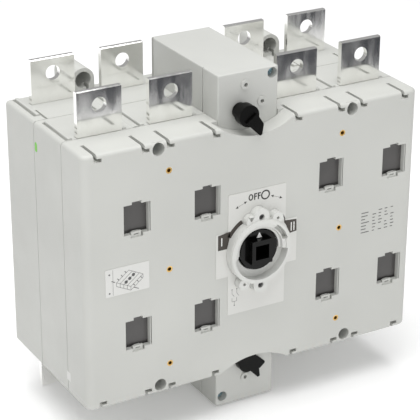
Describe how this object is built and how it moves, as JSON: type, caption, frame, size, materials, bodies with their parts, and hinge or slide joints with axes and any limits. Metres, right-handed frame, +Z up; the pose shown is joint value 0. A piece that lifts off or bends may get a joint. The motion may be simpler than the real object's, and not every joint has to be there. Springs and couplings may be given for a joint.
{
  "type": "manual transfer switch",
  "caption": "Front-operated manual transfer switch with bar terminals, inspection windows, contact rotors and a rack drive.",
  "frame": {"origin": "centre of the four panel fixing holes, in the plane of the mounting panel", "axes": "+Z up, +X to the right seen from the front, front faces -Y"},
  "size_m": [0.321, 0.18, 0.31],
  "materials": {
    "housing": "fine satin moulded, light grey",
    "window": "smoked, semi-gloss",
    "plated_copper": "bright silver plate",
    "black_plastic": "satin black",
    "drum_plastic": "matt brown thermoset",
    "steel": "zinc-plated steel",
    "bearing_plastic": "natural acetal",
    "zinc_screw": "blue zinc plate",
    "brass": "turned brass",
    "plate_white": "printed plate, matt white"
  },
  "bodies": {
    "casing": {"front_cover": "housing", "pole_housing_left": "housing", "pole_housing_right": "housing", "rear_housing": "housing", "mechanism_case": "housing", "mechanism_front_plate": "housing", "bezel": "housing", "rack_guide": "housing", "upper_windows": "window", "lower_windows": "window", "source_1_bar_1": "plated_copper", "source_1_bar_2": "plated_copper", "source_1_bar_3": "plated_copper", "source_1_bar_4": "plated_copper", "source_2_bar_1": "plated_copper", "source_2_bar_2": "plated_copper", "source_2_bar_3": "plated_copper", "source_2_bar_4": "plated_copper", "load_bar_1": "plated_copper", "load_bar_2": "plated_copper", "load_bar_3": "plated_copper", "load_bar_4": "plated_copper", "bearing_bridge": "steel", "upper_arc_plates": "steel", "lower_arc_plates": "steel", "shaft_bearings": "bearing_plastic", "bezel_screws": "zinc_screw", "tie_bolts": "zinc_screw", "tie_nuts": "zinc_screw", "plate_screws": "zinc_screw", "threaded_inserts": "brass", "drive_bush": "brass", "dial_plate": "plate_white", "diagram_plate": "plate_white"},
    "upper_rotor": {"upper_contact_shaft": "steel", "upper_shaft_pinion": "steel", "upper_drum_left": "drum_plastic", "upper_drum_right": "drum_plastic", "upper_contact_1": "plated_copper", "upper_contact_2": "plated_copper", "upper_contact_3": "plated_copper", "upper_contact_4": "plated_copper"},
    "lower_rotor": {"lower_contact_shaft": "steel", "lower_shaft_pinion": "steel", "lower_drum_left": "drum_plastic", "lower_drum_right": "drum_plastic", "lower_contact_1": "plated_copper", "lower_contact_2": "plated_copper", "lower_contact_3": "plated_copper", "lower_contact_4": "plated_copper"},
    "rack": {"drive_rack": "steel"},
    "hub": {"drive_hub": "black_plastic", "drive_shaft": "steel", "drive_pinion": "steel", "position_pointer": "plate_white"},
    "top_cam": {"top_cam": "black_plastic", "top_cam_gear": "steel"},
    "bottom_cam": {"bottom_cam": "black_plastic", "bottom_cam_gear": "steel"}
  },
  "joints": [
    {"name": "rack_slide", "type": "slide", "parent": "casing", "child": "rack", "axis": [0, 0, 1], "range_m": [-0.01256, 0.01256]},
    {"name": "hub_turn", "type": "hinge", "parent": "casing", "child": "hub", "pos_m": [0, -0.17, 0], "axis": [0, -1, 0], "range_deg": [-60.1, 60.1]},
    {"name": "upper_rotor_turn", "type": "hinge", "parent": "casing", "child": "upper_rotor", "pos_m": [0, -0.098, 0.052], "axis": [-1, 0, 0], "range_deg": [-60.1, 60.1]},
    {"name": "lower_rotor_turn", "type": "hinge", "parent": "casing", "child": "lower_rotor", "pos_m": [0, -0.098, -0.052], "axis": [-1, 0, 0], "range_deg": [-60.1, 60.1]},
    {"name": "top_cam_turn", "type": "hinge", "parent": "casing", "child": "top_cam", "pos_m": [-0.009, -0.16, 0.1205], "axis": [0, -1, 0], "range_deg": [-40.1, 40.1]},
    {"name": "bottom_cam_turn", "type": "hinge", "parent": "casing", "child": "bottom_cam", "pos_m": [-0.0025, -0.16, -0.1125], "axis": [0, -1, 0], "range_deg": [-40.1, 40.1]}
  ],
  "couplings": [
    {"joint": "hub_turn", "follows": "rack_slide", "rad_per_m": 83.333},
    {"joint": "upper_rotor_turn", "follows": "rack_slide", "rad_per_m": 83.333},
    {"joint": "lower_rotor_turn", "follows": "rack_slide", "rad_per_m": 83.333},
    {"joint": "top_cam_turn", "follows": "rack_slide", "rad_per_m": 55.556},
    {"joint": "bottom_cam_turn", "follows": "rack_slide", "rad_per_m": 55.556}
  ]
}
